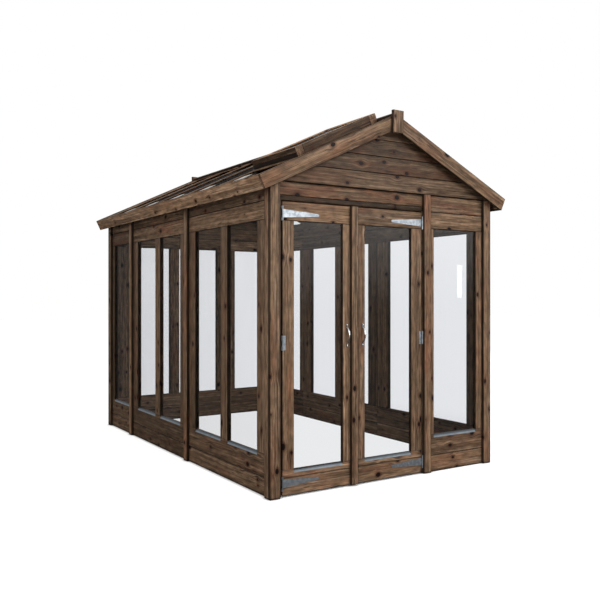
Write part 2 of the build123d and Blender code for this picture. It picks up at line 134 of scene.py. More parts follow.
def find_knots(tree, place):
    """The knot nearest to a point of a board: how far its rim is, whether it shows, the way."""
    cell = add(tree, "VectorMath", {0: place, 1: (1 / KNOT_CELL[0], 1 / KNOT_CELL[1], 0)},
               operation="MULTIPLY")
    points = add(tree, "TexVoronoi", {"Vector": cell, "Scale": 1.0}, voronoi_dimensions="2D")
    heart = add(tree, "VectorMath", {0: points.outputs["Position"], 1: (*KNOT_CELL, 0)},
                operation="MULTIPLY")
    flat = add(tree, "VectorMath", {0: place, 1: (1, 1, 0)}, operation="MULTIPLY")
    away = add(tree, "VectorMath", {0: flat, 1: heart}, operation="SUBTRACT")
    oval = add(tree, "VectorMath", {0: away, 1: (0.7, 1, 0)}, operation="MULTIPLY")
    distance = add(tree, "VectorMath", {0: oval}, operation="LENGTH")
    ragged = add(tree, "TexNoise", {"Vector": place, "Scale": 160.0, "Detail": 1.0})
    ragged = add(tree, "MapRange", {0: ragged, 3: -KNOT_RAGGED, 4: KNOT_RAGGED})
    chance = add(tree, "SeparateColor", {0: points.outputs["Color"]})
    radius = add(tree, "MapRange", {0: chance, 1: CLEAR_CELLS, 2: 1.0, 3: 0.0, 4: KNOT_RADIUS},
                 clamp=False)
    rim = add(tree, "Math", {0: distance, 1: radius}, operation="SUBTRACT")
    rim = add(tree, "Math", {0: rim, 1: ragged}, operation="ADD")
    shows = add(tree, "MapRange", {0: radius, 1: 0.0, 2: 0.003}, interpolation_type=SMOOTH)
    return rim, shows, away


print("one knot at most in", [round(side / MM) for side in KNOT_CELL], "mm of board")

# %% [markdown]
# ## Stained softwood
#
# The boards are planed pine, soaked in a brown preservative. The stain sinks into the pale
# early wood and leaves the late wood darker, in long streaks; knots stay nearly black, and the
# stain gathers on the edges. Each board carries three attributes: its own grain coordinates in
# metres, half its size, and random numbers. A pattern drawn in these follows the board.
#
# The colour is made first, from broad bands to growth rings. A level then darkens or lightens
# it, and the knots are laid over both.

# %% The colour of the wood
RING_COUNT = 14


def streaks(tree, vector, along, across, detail):
    """A noise drawn out along the board; both numbers are cells a metre."""
    stretched = add(tree, "VectorMath", {0: vector, 1: (along, across, across)},
                    operation="MULTIPLY")
    return add(tree, "TexNoise", {"Vector": stretched, "Scale": 1.0, "Detail": detail,
                                  "Roughness": 0.55})


def grain_colour(tree, place, flow, redness, dark, middle, light, red):
    """The stained colour without knots, and the growth rings in it."""
    # Broad bands, 40 mm wide and some metres long
    broad = streaks(tree, flow, 0.5, 24, 2.0)
    tone = add(tree, "MapRange", {0: broad, 1: 0.38, 2: 0.6, 3: 0.45, 4: 1.0},
               interpolation_type=SMOOTH)
    shade = add(tree, "Mix", {0: tone, 6: colour(dark), 7: colour(middle)}, data_type="RGBA")
    # Paler early wood, in bands 12 mm wide
    bands = streaks(tree, flow, 0.9, 85, 2.0)
    pale = add(tree, "MapRange", {0: bands, 1: 0.47, 2: 0.66, 3: 0.0, 4: 0.55},
               interpolation_type=SMOOTH)
    shade = add(tree, "Mix", {0: pale, 6: shade, 7: colour(light)}, data_type="RGBA")
    # Reddish patches, 80 mm wide and half a metre long, more on some boards than on others
    patches = streaks(tree, place, 2.2, 12, 3.0)
    ruddy = add(tree, "MapRange", {0: redness, 1: 0.4, 2: 1.0, 3: 0.2, 4: 0.65})
    flush = add(tree, "MapRange", {0: patches, 1: 0.48, 2: 0.64, 3: 0.0, 4: ruddy},
                interpolation_type=SMOOTH)
    shade = add(tree, "Mix", {0: flush, 6: shade, 7: colour(red)}, data_type="RGBA")
    # Growth rings: contour lines of a stretched noise, which gives the flame of a sawn board
    field = streaks(tree, flow, 0.4, 9, 0.0)
    wave = add(tree, "Math", {0: field, 1: RING_COUNT * 2 * pi}, operation="MULTIPLY")
    wave = add(tree, "Math", {0: wave}, operation="SINE")
    rings = add(tree, "MapRange", {0: wave, 1: 0.25, 2: 0.95}, interpolation_type=SMOOTH)
    late = add(tree, "Math", {0: rings, 1: 0.3}, operation="MULTIPLY")
    shade = add(tree, "Mix", {0: late, 6: shade, 7: colour(dark)}, data_type="RGBA")
    return shade, rings


print("growth rings", RING_COUNT, "to the range of the noise")

# %% How dark the stain is
EDGE_STAIN = 4 * MM


def stain_level(tree, place, flow, grain, half, tone):
    """How light each point of a board is, and its fibre."""
    # Fibre is too fine to show, so it is drawn 6 mm wide and as long as a hand
    fibre = streaks(tree, flow, 6, 170, 3.5)
    level = add(tree, "MapRange", {0: fibre, 1: 0.32, 2: 0.68, 3: 0.7, 4: 1.25},
                interpolation_type=SMOOTH)
    # Mottle, 26 mm wide, where the wood drank more of the stain or less
    mottle = streaks(tree, place, 14, 38, 4.0)
    mottle = add(tree, "MapRange", {0: mottle, 1: 0.34, 2: 0.66, 3: 0.7, 4: 1.28})
    level = add(tree, "Math", {0: level, 1: mottle}, operation="MULTIPLY")
    # Checks, the short cracks of dried wood
    checks = streaks(tree, flow, 9, 230, 0.0)
    checks = add(tree, "MapRange", {0: checks, 1: 0.68, 2: 0.74, 3: 1.0, 4: 0.35},
                 interpolation_type=SMOOTH)
    level = add(tree, "Math", {0: level, 1: checks}, operation="MULTIPLY")
    board = add(tree, "Math", {0: tone, 1: 0.4, 2: 0.8}, operation="MULTIPLY_ADD")
    level = add(tree, "Math", {0: level, 1: board}, operation="MULTIPLY")
    # The stain gathers along the edges and on end grain; on faces that look up the edges are
    # painted paler instead, a painted highlight
    there = add(tree, "VectorMath", {0: grain}, operation="ABSOLUTE")
    inside = add(tree, "VectorMath", {0: half, 1: there}, operation="SUBTRACT")
    depth = add(tree, "SeparateXYZ", {0: inside})
    facing = add(tree, "SeparateXYZ", {0: add(tree, "NewGeometry").outputs["True Normal"]})
    # Painted highlight: 1.3 on faces that look up, edge stain 0.18 on the rest
    wear_and_highlight = add(tree, "MapRange", {0: facing.outputs[2], 1: 0.8, 2: 0.9, 3: 0.18, 4: 1.3})
    side = add(tree, "MapRange", {0: depth.outputs[1], 1: EDGE_STAIN / 2, 2: EDGE_STAIN,
                                  3: wear_and_highlight, 4: 1.0}, interpolation_type=SMOOTH)
    level = add(tree, "Math", {0: level, 1: side}, operation="MULTIPLY")
    end = add(tree, "MapRange", {0: depth.outputs[0], 1: EDGE_STAIN / 4, 2: EDGE_STAIN / 2,
                                 3: 0.5, 4: 1.0}, interpolation_type=SMOOTH)
    level = add(tree, "Math", {0: level, 1: end}, operation="MULTIPLY")
    # Painted shade: the lowest 14 mm, which stand on the ground, are darkened as a contact shadow
    height = add(tree, "SeparateXYZ", {0: add(tree, "TexCoord").outputs["Object"]})
    foot_shade = add(tree, "MapRange", {0: height.outputs[2], 1: 4 * MM, 2: 14 * MM, 3: 0.3, 4: 1.0},
               interpolation_type=SMOOTH)
    return add(tree, "Math", {0: level, 1: foot_shade}, operation="MULTIPLY"), fibre


print("stain gathers within", EDGE_STAIN / MM, "mm of an edge")

# %% Stained softwood


def stained_softwood(name, dark, middle, light, red):
    """Pine under a brown stain: matt, with grain that runs along each board."""
    material, tree, shader = new_material(name)
    grain, half, seed = [add(tree, "Attribute", attribute_name=key).outputs["Vector"]
                         for key in ("grain", "half", "seed")]
    own = add(tree, "SeparateXYZ", {0: seed})
    place = add(tree, "VectorMath", {0: seed, 1: (37, 23, 11), 2: grain},
                operation="MULTIPLY_ADD")

    # The grain bends round each knot
    rim, shows, away = find_knots(tree, place)
    push = add(tree, "MapRange", {0: rim, 1: 45 * MM, 2: 0.0, 3: 0.0, 4: 0.75},
               interpolation_type=SMOOTH)
    push = add(tree, "Math", {0: push, 1: shows}, operation="MULTIPLY")
    turn = add(tree, "VectorMath", {0: away, 1: (0, -1, 0)}, operation="MULTIPLY")
    bent = add(tree, "VectorMath", {0: turn, "Scale": push}, operation="SCALE")
    flow = add(tree, "VectorMath", {0: place, 1: bent}, operation="ADD")

    shade, rings = grain_colour(tree, place, flow, own.outputs[0], dark, middle, light, red)
    level, fibre = stain_level(tree, place, flow, grain, half, own.outputs[2])
    level = add(tree, "CombineColor", {0: level, 1: level, 2: level})
    shade = add(tree, "Mix", {0: 1.0, 6: shade, 7: level}, data_type="RGBA", blend_type="MULTIPLY")

    # Knots: nearly black, in a brown ring
    ring = add(tree, "MapRange", {0: rim, 1: 20 * MM, 2: 0.0, 3: 0.0, 4: 0.75},
               interpolation_type=SMOOTH)
    ring = add(tree, "Math", {0: ring, 1: shows}, operation="MULTIPLY")
    shade = add(tree, "Mix", {0: ring, 6: shade, 7: colour("#3a1a0d")}, data_type="RGBA")
    knot = add(tree, "MapRange", {0: rim, 1: 4 * MM, 2: 2 * MM}, interpolation_type=SMOOTH)
    knot = add(tree, "Math", {0: knot, 1: shows}, operation="MULTIPLY")
    shade = add(tree, "Mix", {0: knot, 6: shade, 7: colour("#100705")}, data_type="RGBA")
    feed(tree, shade, shader.inputs["Base Color"])

    # Late wood and knots stand lower than the raised fibre
    rough = add(tree, "MapRange", {0: fibre, 1: 0.3, 2: 0.7, 3: 0.5, 4: 0.68})
    feed(tree, rough, shader.inputs["Roughness"])
    low = add(tree, "Math", {0: rings, 1: 0.5, 2: knot}, operation="MULTIPLY_ADD")
    high = add(tree, "Math", {0: fibre, 1: 0.6}, operation="MULTIPLY")
    relief = add(tree, "Math", {0: high, 1: low}, operation="SUBTRACT")
    bump = add(tree, "Bump", {"Height": relief, "Strength": 0.35, "Distance": 0.8 * MM})
    feed(tree, bump, shader.inputs["Normal"])
    shader.inputs["Specular IOR Level"].default_value = 0.15
    return material


# Planed pine under a preservative stain: matt and warm brown, with hardly any sheen
softwood = stained_softwood("stained softwood", "#3a2b1f", "#785e47", "#997f68", "#764b35")
# The same pine painted nearly black: a painted shadow on the low face of the vent's curb
shade_painted = stained_softwood("blackened softwood", "#1c150f", "#382a1e", "#4c3b2b", "#2e1d13")
print("materials", softwood.name, shade_painted.name)

# %% [markdown]
# ## Sills, weathered grey with painted shade
#
# Rain runs down the panes onto the sloped sills and washes the brown stain to a dull slate grey;
# the grey also stands in for the sky mirrored in their slope, a painted reflection. Against the
# pane they are painted dark, a painted shadow, and the lip is painted paler, a painted
# highlight. The distance from the top edge of the board tells the two apart, so the same
# material fits sills at any height.

# %% Sill: weathered grey with painted shade
LIP_START, LIP_END = 5 * MM, 16 * MM

weathered_and_shaded, tree, shader = new_material("weathered sill")
grain, half = [add(tree, "Attribute", attribute_name=key).outputs["Vector"]
               for key in ("grain", "half")]
below = add(tree, "VectorMath", {0: half, 1: grain}, operation="SUBTRACT")
below = add(tree, "SeparateXYZ", {0: below}).outputs[1]
# Painted shadow: dark slate against the pane; painted highlight: pale grey on the lip
lip = add(tree, "MapRange", {0: below, 1: LIP_START, 2: LIP_END}, interpolation_type=SMOOTH)
shade = add(tree, "Mix", {0: lip, 6: colour("#2a3137"), 7: colour("#77828a")}, data_type="RGBA")
point = add(tree, "TexCoord").outputs["Object"]
washed = add(tree, "TexNoise", {"Vector": point, "Scale": 24.0, "Detail": 4.0, "Roughness": 0.65})
washed = add(tree, "MapRange", {0: washed, 1: 0.35, 2: 0.65, 3: 0.5, 4: 0.0})
shade = add(tree, "Mix", {0: washed, 6: shade, 7: colour("#3b434a")}, data_type="RGBA")
feed(tree, shade, shader.inputs["Base Color"])
shader.inputs["Roughness"].default_value = 0.5
print("material", weathered_and_shaded.name)

# %% [markdown]
# ## Sawing a solid panel into boards
#
# A panel of the frame is one solid with its window openings. A joiner would build it from
# boards, so a copy of its mesh is cut at every seam. `bisect` throws away one side of a plane
# and closes the cut, so each cut keeps two copies: what lies before the plane and what lies
# behind it. A gap under a millimetre is left there, as between real boards.

# %% Selecting and cutting
SAW_GAP = 0.8 * MM
EASED = 1.5 * MM


def only(objects, active=None):
    """Selects these objects and nothing else."""
    bpy.ops.object.select_all(action="DESELECT")
    for item in objects:
        item.select_set(True)
    bpy.context.view_layer.objects.active = active or objects[0]


def edit(item, *steps):
    """Opens a mesh in edit mode, selects it all and runs each step on it."""
    only([item])
    bpy.ops.object.mode_set(mode="EDIT")
    bpy.ops.mesh.select_all(action="SELECT")
    for step in steps:
        step()
    bpy.ops.object.mode_set(mode="OBJECT")


def clean():
    """Turns loose triangles into whole flat faces."""
    bpy.ops.mesh.remove_doubles(threshold=0.00002)
    bpy.ops.mesh.dissolve_limited(angle_limit=radians(0.5))


def saw(item, point, normal):
    """Cuts a mesh in two at a plane and returns the parts, or the whole one if it isn't met."""
    point, normal = Vector(point), Vector(normal).normalized()
    heights = [(vertex.co - point).dot(normal) for vertex in item.data.vertices]
    if min(heights) > -2 * MM or max(heights) < 2 * MM:
        return [item]
    other = bpy.data.objects.new(item.name, item.data.copy())
    scene.collection.objects.link(other)
    for part, side in ((item, -1), (other, 1)):
        plane = point + normal * side * SAW_GAP / 2

        def halve():
            bpy.ops.mesh.bisect(plane_co=plane, plane_no=normal, use_fill=True,
                                clear_outer=side < 0, clear_inner=side > 0, threshold=0.00001)

        edit(part, halve)
    return [item, other]


def sawn(node, name, planes):
    """A copy of a node, cut at all these planes, as one object with loose boards."""
    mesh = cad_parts[node].data.copy()
    mesh.materials.clear()
    item = bpy.data.objects.new(name, mesh)
    scene.collection.objects.link(item)
    edit(item, clean)
    parts = [item]
    for point, normal in planes:
        parts = [piece for part in parts for piece in saw(part, point, normal)]
    only(parts, item)
    if len(parts) > 1:
        bpy.ops.object.join()
    return item


def ease(item, width=EASED, segments=2):
    """Takes the sharp arris off every board."""
    only([item])
    bevel = item.modifiers.new("arris", "BEVEL")
    bevel.width, bevel.segments = width, segments
    bevel.limit_method, bevel.angle_limit = "ANGLE", radians(25)
    bpy.ops.object.modifier_apply(modifier="arris")
    bpy.ops.object.shade_smooth_by_angle(angle=radians(40))


print("saw gap", SAW_GAP / MM, "mm, eased edges", EASED / MM, "mm")

# %% [markdown]
# ## Which way the grain runs
#
# The grain of a board runs along its length. Each loose board is measured in three sets of
# axes, upright and along each roof slope, and the set in which it fills the smallest box is
# its own. Its longest side there is the grain, and the next one its width.

# %% Grain attributes
PITCH = radians(25.3)
AXES = [
    np.eye(3),
    np.array([(cos(PITCH), 0, -sin(PITCH)), (0, 1, 0), (sin(PITCH), 0, cos(PITCH))]),
    np.array([(cos(PITCH), 0, sin(PITCH)), (0, 1, 0), (-sin(PITCH), 0, cos(PITCH))]),
]
draw = Random(11)


def loose_boards(mesh):
    """The vertices of each board of a joined mesh."""
    links = [[] for _ in mesh.vertices]
    for edge in mesh.edges:
        first, second = edge.vertices
        links[first].append(second)
        links[second].append(first)
    seen, boards = set(), []
    for start in range(len(links)):
        if start in seen:
            continue
        seen.add(start)
        board, reach = [], [start]
        while reach:
            vertex = reach.pop()
            board.append(vertex)
            for neighbour in links[vertex]:
                if neighbour not in seen:
                    seen.add(neighbour)
                    reach.append(neighbour)
        boards.append(board)
    return boards


def lay_grain(item, tone=0):
    """Gives every board of a piece its grain coordinates, half its size and random numbers."""
    mesh = item.data
    place = np.zeros(len(mesh.vertices) * 3)
    mesh.vertices.foreach_get("co", place)
    place = place.reshape(-1, 3)
    values = {name: np.zeros_like(place) for name in ("grain", "half", "seed")}
    boards = loose_boards(mesh)
    for board in boards:
        corner = place[board]
        best = None
        for axes in AXES:
            local = corner @ axes.T
            size = local.max(0) - local.min(0)
            if best is None or size.prod() < best[0] * 0.98:
                best = (size.prod(), size, local)
        size, local = best[1:]
        order = np.argsort(-size)
        middle = (local.max(0) + local.min(0)) / 2
        values["grain"][board] = (local - middle)[:, order]
        values["half"][board] = size[order] / 2
        values["seed"][board] = (draw.random(), draw.random(), draw.random() + tone)
    for name, value in values.items():
        attribute = mesh.attributes.new(name, "FLOAT_VECTOR", "POINT")
        attribute.data.foreach_set("vector", value.ravel().astype(np.float32))
    return len(boards)


print("boards are measured in", len(AXES), "sets of axes")

# %% [markdown]
# ## One dressed piece
# Each wooden piece starts as one node of the frame: it is sawn, eased, given its grain and
# its stain, and then stands in for that node. No two boards take the stain alike. A table
# says how far a piece differs from the rest: above 0 it is lighter, below 0 it is darker.
# Most of these offsets are painted light and shade: they lift the shaded fascia, roof frame,
# vent and door jambs, darken the side walls and lighten the rear wall. A table
# says how far a piece differs from the rest: above 0 it is lighter, below 0 it is darker.

# %% Dressing a piece
# Painted light and shade for most entries: above 0 lighter, below 0 darker
TONES = {"left_eave_fascia": 0.9, "roof_vent_frame": 3.4, "left_roof_frame": 0.6,
         "left_door_jamb": 2.5, "right_door_jamb": 2.5, "left_door_frame": 1.0,
         "front_gable_boards": -0.8, "front_joint_batten": 0.2,
         "rear_wall_double_panel": 0.5, "rear_wall_single_panel": 0.6}
TONES.update({f"{side}_wall_{part}_panel": -0.75 for side in ("left", "right")
              for part in ("front", "middle", "rear")})


def board_piece(node, name, planes=(), body="building"):
    """Saws one node into boards, eases and dresses them, and puts them in its place."""
    item = sawn(node, name, planes)
    ease(item)
    count = lay_grain(item, TONES.get(node, 0))
    item.data.materials.append(softwood)
    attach(item, body)
    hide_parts(node)
    print(name, count, "boards", len(item.data.polygons), "faces")
    return item


print("pieces with a tone of their own", len(TONES))

# %% [markdown]
# ## Walls
#
# Each wall panel has two boards under its windows and two over them, and upright stiles
# between. The seams are at the same heights all round. The sloped faces at the foot of each
# window are then found by their place and tilt, and get the grey sill material with its
# painted shade and highlight.

# %% Seams and sills
SILL_BAND = 25


def levels(*heights):
    """Level planes at heights in millimetres."""
    return [((0, 0, height * MM), (0, 0, 1)) for height in heights]


def refinish(item, material, chosen):
    """Gives the faces of a piece that pass a test another finish."""
    item.data.materials.append(material)
    faces = [face for face in item.data.polygons if chosen(face)]
    for face in faces:
        face.material_index = 1
    print(item.name, len(faces), "faces of", material.name)


def sill(foot):
    """A test for the sloped sill below a window whose foot is at a height."""
    return lambda face: (0.3 < face.normal.z < 0.8
                         and (foot - SILL_BAND) * MM < face.center.z < (foot + 1) * MM)


print("sills lie in the", SILL_BAND, "mm under each window")

# %% Wall panels
FOOT_SEAM, WINDOW_FOOT, WINDOW_HEAD, HEAD_SEAM = 110, 250, 1642, 1754
PANEL_SEAMS = levels(FOOT_SEAM, WINDOW_FOOT, WINDOW_HEAD, HEAD_SEAM)
PANELS = [f"{side}_wall_{part}" for side in ("left", "right")
          for part in ("front", "middle", "rear")]
PANELS += ["rear_wall_double", "rear_wall_single", "front_window"]

for panel in PANELS:
    boards = board_piece(f"{panel}_panel", f"{panel}_boards", PANEL_SEAMS)
    refinish(boards, weathered_and_shaded, sill(WINDOW_FOOT))

# %% [markdown]
# ## Posts, corner boards and cover battens
#
# Each corner is covered by two boards, the front one over the edge of the side one. Battens
# hide the joints between the panels.

# %% Posts and covers
HALF_DEPTH, COVER = 1491, 20
corner_cuts = [((0, side * (HALF_DEPTH - COVER) * MM, 0), (0, 1, 0)) for side in (-1, 1)]

board_piece("corner_trims", "corner_boards", corner_cuts)
board_piece("corner_posts", "corner_post_timbers")
for node in ("front_joint_batten", "rear_joint_batten", "side_joint_battens"):
    board_piece(node, f"{node}_timber")

# %% [markdown]
# ## Doorway and doors
#
# A door leaf is a frame of two stiles with a rail above and below its pane, and a board at its
# foot. The closing strip stands on the edge of the left leaf and hides the gap between the two.

# %% Doorway and doors
LEAF_SEAM, PANE_FOOT, PANE_HEAD = 111, 158, 1635
LINTEL_SEAM = 1783

for node in ("left_door_jamb", "right_door_jamb"):
    board_piece(node, f"{node}_timber")
board_piece("door_head", "door_head_boards", levels(LINTEL_SEAM))
for side in ("left", "right"):
    boards = board_piece(f"{side}_door_frame", f"{side}_door_boards",
                         levels(LEAF_SEAM, PANE_FOOT, PANE_HEAD), f"{side}_door")
    refinish(boards, weathered_and_shaded, sill(PANE_FOOT))
board_piece("door_closing_strip", "closing_strip_timber", (), "left_door")

# %% [markdown]
# ## Gables and roof
#
# The gables are boarded level, in front of a triangular frame. Each roof slope is a frame of
# rails and rafters with a pane in every bay, and the first bay on the left carries a vent.
# The roof is cut across at both sides of each rafter, and the vent at its end rails and at
# the top of its curb. The lower face of that curb lies in shade, and is painted nearly black
# as a painted shadow.

# %% Gables
GABLE_SEAMS = (1973, 2080, 2187)
TIE_SEAM, STUD_SIDES = 1926, (-30, 30)
stud_cuts = [((x * MM, 0, 0), (1, 0, 0)) for x in STUD_SIDES]

for end in ("front", "rear"):
    board_piece(f"{end}_gable_boards", f"{end}_gable_cladding", levels(*GABLE_SEAMS))
    board_piece(f"{end}_gable_frame", f"{end}_gable_timbers", levels(TIE_SEAM) + stud_cuts)

# %% Roof slopes
RAFTER_SIDES = (-1371, -877.5, -827.5, -315, -225, 287.5, 337.5, 850, 940, 1371)
bay_cuts = [((0, y * MM, 0), (0, 1, 0)) for y in RAFTER_SIDES]

board_piece("ridge_beam", "ridge_beam_timber")
board_piece("ridge_capping", "ridge_capping_boards", [((0, 0, 0), (1, 0, 0))])
for side in ("left", "right"):
    board_piece(f"{side}_roof_frame", f"{side}_roof_timbers", bay_cuts)
    board_piece(f"{side}_eave_fascia", f"{side}_eave_board")
    for end in ("front", "rear"):
        board_piece(f"{end}_{side}_bargeboard", f"{end}_{side}_barge_timber")

# %% Vent and finials
APEX = Vector((0, 0, 2355.12 * MM))
DOWN_SLOPE = Vector((-cos(PITCH), 0, -sin(PITCH)))
OFF_SLOPE = Vector((-sin(PITCH), 0, cos(PITCH)))
VENT_RAILS, VENT_CURB = (106, 670), 22
vent_cuts = [(APEX + DOWN_SLOPE * along * MM, DOWN_SLOPE) for along in VENT_RAILS]
vent_cuts.append((APEX + OFF_SLOPE * VENT_CURB * MM, OFF_SLOPE))


def low_curb(face):
    """A test for the face of the vent's curb that looks down the slope."""
    return (face.center.x < -0.6 and face.normal.dot(DOWN_SLOPE) > 0.7
            and (face.center - APEX).dot(OFF_SLOPE) < VENT_CURB * MM)


vent = board_piece("roof_vent_frame", "roof_vent_timbers", vent_cuts)
refinish(vent, shade_painted, low_curb)
for end in ("front", "rear"):
    board_piece(f"{end}_finial", f"{end}_finial_block")

# %% [markdown]
# ## Glass
#
# The panes are clear float glass: smooth, with a faint cool cast, and grey green where they
# are seen along their face. The roof panes lie so flat to the eye that a true sheet of glass
# would mirror the white sky all over, and on the real roof they show the timber below. They get
# hardly any refraction and a brown cast along their face. Near the eaves, where they are seen
# along their face, they are painted near white in patches every 530 mm: painted glints of the
# sky.

# %% Painted glints on the low edge
GLINT_EDGE, GLINT_FADE, GLINT_SPACING = 0.77, 0.02, 0.53


def low_edge_glint(tree, point, along):
    """How much painted glint a roof pane gets: near the eaves, in patches, seen along the glass."""
    place = add(tree, "SeparateXYZ", {0: point})
    side = add(tree, "Math", {0: place.outputs[0]}, operation="ABSOLUTE")
    low = add(tree, "MapRange", {0: side, 1: GLINT_EDGE, 2: GLINT_EDGE + GLINT_FADE},
              interpolation_type=SMOOTH)
    turns = 2 * pi / GLINT_SPACING
    glint_row = add(tree, "Math", {0: place.outputs[1], 1: turns, 2: turns},
                operation="MULTIPLY_ADD")
    glint_row = add(tree, "Math", {0: glint_row}, operation="COSINE")
    glint_row = add(tree, "MapRange", {0: glint_row, 1: 0.6, 2: 0.9}, interpolation_type=SMOOTH)
    # Painted glint, strongest where the pane is seen along its face
    glint = add(tree, "Math", {0: low, 1: along}, operation="MULTIPLY")
    return add(tree, "Math", {0: glint, 1: glint_row}, operation="MULTIPLY")


# Painted glints recur at this spacing along the eaves
print("dust drifts every", round(GLINT_SPACING / MM), "mm")

# %% Panes
GRAZING = (0.80, 0.95)


def sheet_glass(name, clear, edge, ior, glinting=False):
    """Glass that shows the colour of its edge where it is seen along its face."""
    material, tree, shader = new_material(name)
    point = add(tree, "TexCoord").outputs["Object"]
    smear = add(tree, "TexNoise", {"Vector": point, "Scale": 6.0, "Detail": 3.0})
    smear = add(tree, "MapRange", {0: smear, 1: 0.45, 2: 0.75, 3: 0.0, 4: 0.03})
    feed(tree, smear, shader.inputs["Roughness"])
    facing = add(tree, "LayerWeight", {"Blend": 0.5}).outputs["Facing"]
    along = add(tree, "MapRange", {0: facing, 1: GRAZING[0], 2: GRAZING[1]},
                interpolation_type=SMOOTH)
    tint = add(tree, "Mix", {0: along, 6: colour(clear), 7: colour(edge)}, data_type="RGBA")
    shader.inputs["Transmission Weight"].default_value = 1.0
    shader.inputs["IOR"].default_value = ior
    if glinting:
        # Painted glints: near white, letting little light through
        glint = low_edge_glint(tree, point, along)
        tint = add(tree, "Mix", {0: glint, 6: tint, 7: colour("#f4f4f2")}, data_type="RGBA")
        passed = add(tree, "MapRange", {0: glint, 3: 1.0, 4: 0.1})
        feed(tree, passed, shader.inputs["Transmission Weight"])
    feed(tree, tint, shader.inputs["Base Color"])
    return material


# Float glass: clear, with a faint mirror of what is before it
window_glass = sheet_glass("window glass", "#f8f9fb", "#626862", 1.4)
# Thin roof glass: it hides nothing and hardly mirrors, but turns brown at a low angle and carries
# painted glints near the eaves
roof_glass = sheet_glass("roof glass", "#dfe4e2", "#6b5644", 1.001, glinting=True)
for name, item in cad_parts.items():
    if name.endswith("_glass"):
        item.data.materials.clear()
        item.data.materials.append(roof_glass if "roof" in name else window_glass)
print("materials", window_glass.name, roof_glass.name)

# %% [markdown]
# ## Metal
#
# The hinges are pressed from steel sheet and dipped in zinc, which sets in a bloom of crystals
# and dulls in clouds. The handles are cast and chrome plated. Both are metals, so their colour
# is that of what they mirror, tinted by their own.

# %% Metal


def plated(name, bright, dull, rough):
    """A plated metal with a crystal bloom and dull patches."""
    material, tree, shader = new_material(name)
    point = add(tree, "TexCoord").outputs["Object"]
    # Crystals 14 mm across, and clouds a little larger
    bloom = add(tree, "TexVoronoi", {"Vector": point, "Scale": 70.0})
    spangle = add(tree, "SeparateColor", {0: bloom.outputs["Color"]})
    cloud = add(tree, "TexNoise", {"Vector": point, "Scale": 45.0, "Detail": 2.0})
    wear_and_highlight = add(tree, "MapRange", {0: cloud, 1: 0.4, 2: 0.65, 3: 0.0, 4: 0.8},
               interpolation_type=SMOOTH)
    shade = add(tree, "Mix", {0: wear_and_highlight, 6: colour(bright), 7: colour(dull)}, data_type="RGBA")
    grey = add(tree, "Math", {0: spangle, 1: 0.6}, operation="MULTIPLY")
    shade = add(tree, "Mix", {0: grey, 6: shade, 7: colour(dull)}, data_type="RGBA")
    feed(tree, shade, shader.inputs["Base Color"])
    shader.inputs["Metallic"].default_value = 1.0
    satin = add(tree, "MapRange", {0: cloud, 1: 0.3, 2: 0.7, 3: rough, 4: rough + 0.12})
    feed(tree, satin, shader.inputs["Roughness"])
    bump = add(tree, "Bump", {"Height": cloud, "Strength": 0.15, "Distance": 0.3 * MM})
    feed(tree, bump, shader.inputs["Normal"])
    return material


# Zinc plated steel: satin and pale grey, bright only where it mirrors a lamp
galvanised = plated("galvanised steel", "#a8adb2", "#82888e", 0.42)
# Chrome plate: bright and nearly a mirror, so it shows light and dark in sharp bands
chrome = plated("chrome plate", "#f0f1f2", "#c2c5c8", 0.16)
for name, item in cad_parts.items():
    if "hinge" in name or "handle" in name:
        item.data.materials.clear()
        item.data.materials.append(chrome if "handle" in name else galvanised)
print("materials", galvanised.name, chrome.name)

# %% [markdown]
# ## Screws
#
# A pan head screw is a short cylinder whose rim is rounded, with a small drive recess sunk in
# its face. One is modelled, and every screw is a copy with its own mesh.

# %% One screw head
HEAD_RADIUS, HEAD_HEIGHT, HEAD_SIDES = 4.0 * MM, 1.6 * MM, 18
HEAD_ROUND, RECESS_RIM, RECESS_DEPTH = 0.7 * MM, 1.5 * MM, 0.8 * MM


def select_front(item):
    """Selects the face of a screw head that the driver meets, and opens the mesh."""
    bpy.ops.object.mode_set(mode="EDIT")
    bpy.ops.mesh.select_mode(type="FACE")
    bpy.ops.mesh.select_all(action="DESELECT")
    bpy.ops.object.mode_set(mode="OBJECT")
    for face in item.data.polygons:
        face.select = face.normal.y < -0.99
    bpy.ops.object.mode_set(mode="EDIT")


def make_screw():
    """One screw head that faces the front, with its back at the origin."""
    bpy.ops.object.select_all(action="DESELECT")
    bpy.ops.mesh.primitive_cylinder_add(vertices=HEAD_SIDES, radius=HEAD_RADIUS,
                                        depth=HEAD_HEIGHT, location=(0, -HEAD_HEIGHT / 2, 0),
                                        rotation=(pi / 2, 0, 0))
    item = bpy.context.object
    bpy.ops.object.transform_apply(location=True, rotation=True, scale=True)
    select_front(item)
    bpy.ops.mesh.bevel(offset=HEAD_ROUND, segments=2, affect="EDGES")
    bpy.ops.object.mode_set(mode="OBJECT")
    select_front(item)
    bpy.ops.mesh.inset(thickness=RECESS_RIM)
    bpy.ops.mesh.extrude_region_move(TRANSFORM_OT_translate={"value": (0, RECESS_DEPTH, 0)})
    bpy.ops.object.mode_set(mode="OBJECT")
    return item


screw = make_screw()
print("screw head", len(screw.data.polygons), "faces")

# %% Screws on the hinges and handles
FACE = -1471
PIN = {"left_door": -815.5, "right_door": 275.5}
STRAP_HEIGHTS, STRAP_OUT = (80, 1676), 2.5
STRAP_SCREWS = ((14, 13), (14, -13), (42, 0), (118, 0), (186, 0), (248, 0))
BUTT_HEIGHT, BUTT_SCREWS = 910, ((15, -30), (15, 0), (15, 30))
HANDLE = {"left_door": -340.5, "right_door": -218.5}
HANDLE_HEIGHTS, HANDLE_OUT = (878, 1006), 3


